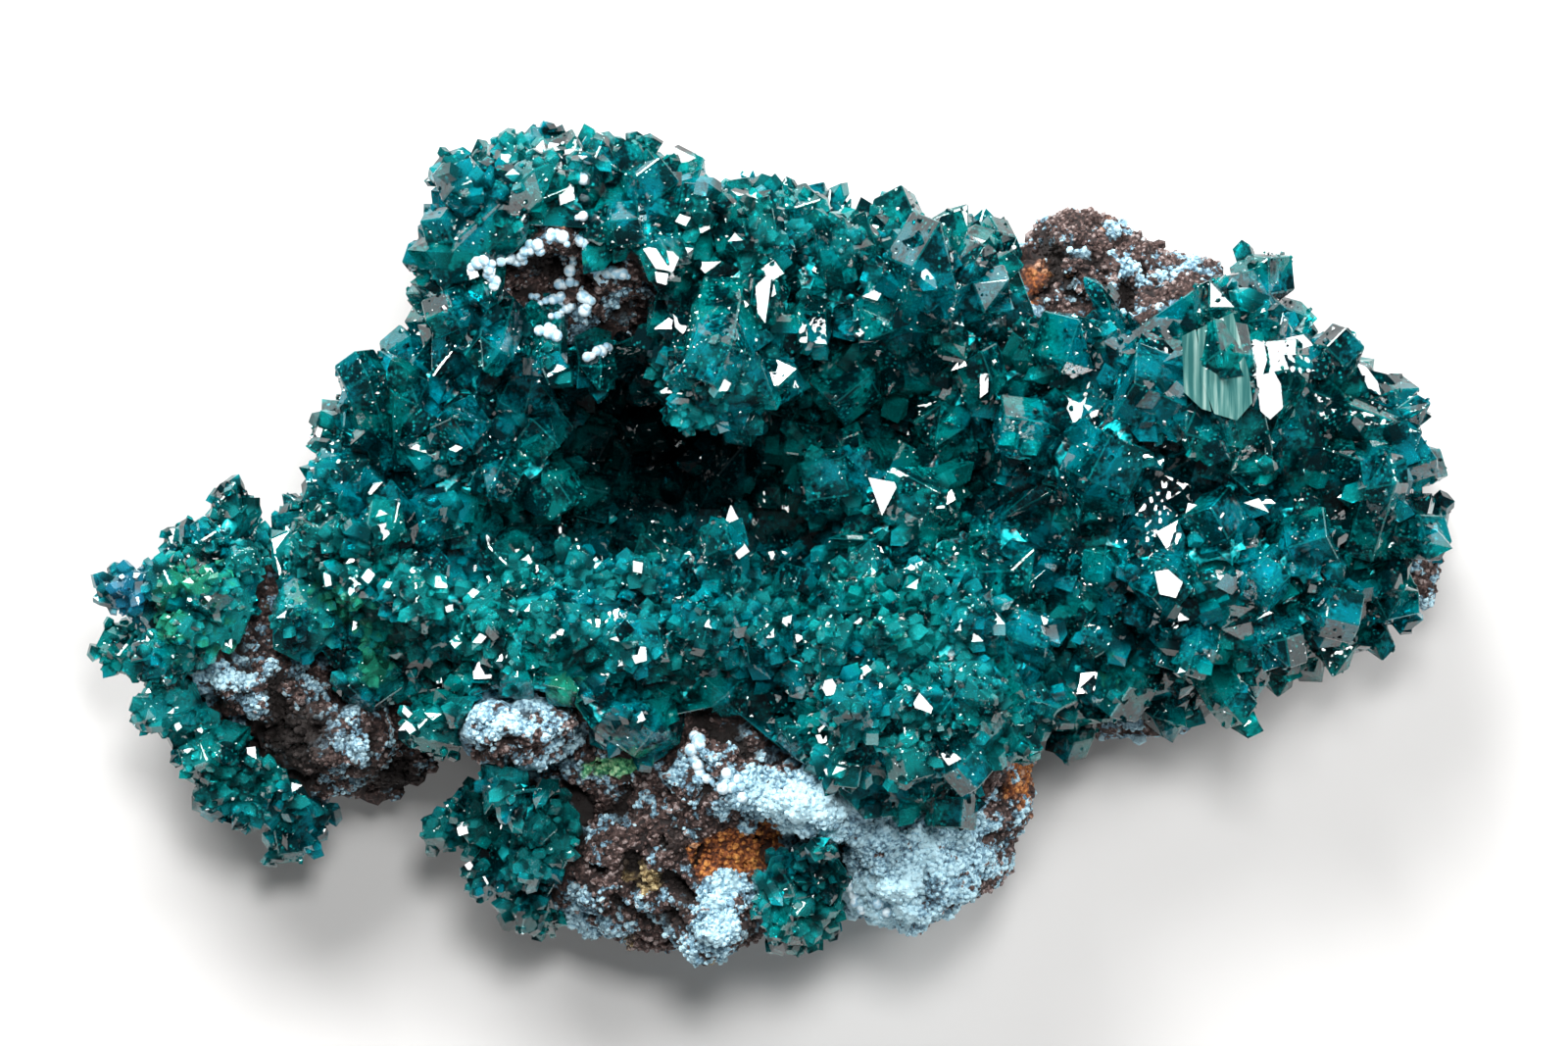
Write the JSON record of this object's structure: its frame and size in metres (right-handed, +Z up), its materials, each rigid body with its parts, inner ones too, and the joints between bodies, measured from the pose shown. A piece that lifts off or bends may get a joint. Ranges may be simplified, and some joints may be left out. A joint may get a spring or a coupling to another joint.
{
  "type": "dioptase specimen",
  "caption": "Dioptase mineral specimen: emerald teal crystal crusts with flat rhombic tips over a lump of brown and pale blue gossan, laid on its back.",
  "frame": {"origin": "on the surface that the specimen lies on, under the middle of its box", "axes": "+X along the specimen to the right of the picture, +Y across it to the top of the picture, +Z up, out of the crystals"},
  "size_m": [0.0966, 0.0592, 0.0371],
  "materials": {
    "matrix": "rough brown gossan with pale blue crusts",
    "dioptase": "clear deep teal green crystal, bright faces"
  },
  "bodies": {
    "root": {"matrix": "matrix", "dioptase_main_druse": "dioptase", "dioptase_arm_druse": "dioptase", "dioptase_foot_druse": "dioptase", "dioptase_patch": "dioptase"}
  },
  "joints": []
}
